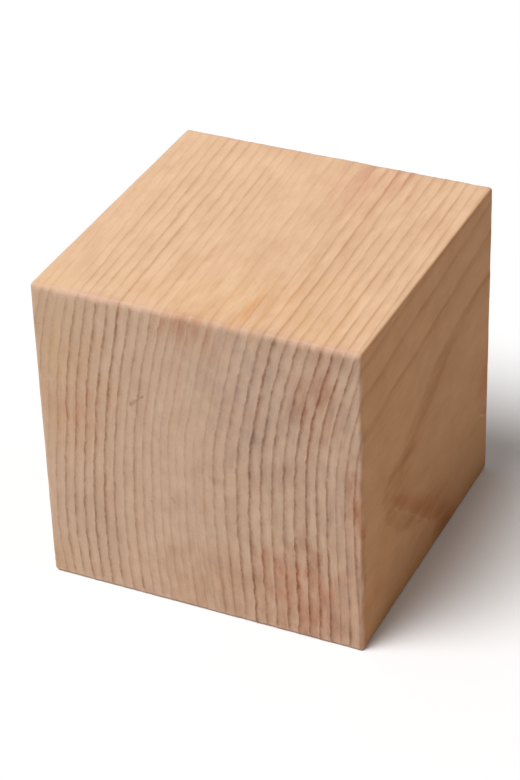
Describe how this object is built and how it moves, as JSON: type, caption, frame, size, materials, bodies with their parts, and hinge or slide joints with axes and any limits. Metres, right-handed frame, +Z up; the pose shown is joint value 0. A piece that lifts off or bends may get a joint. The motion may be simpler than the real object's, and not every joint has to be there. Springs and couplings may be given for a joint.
{
  "type": "wooden cube",
  "caption": "Solid softwood cube with square faces and lightly sanded edges, a bench block that rests, stacks or props on any face.",
  "frame": {"origin": "centre of the bottom face, on the surface that the cube stands on", "axes": "+Z up through the middle of the cube, +Y with the grain from the front end grain to the back, +X to the flat-sawn side"},
  "size_m": [0.05, 0.05, 0.05],
  "materials": {
    "softwood": "matte"
  },
  "bodies": {
    "root": {"block": "softwood"}
  },
  "joints": []
}
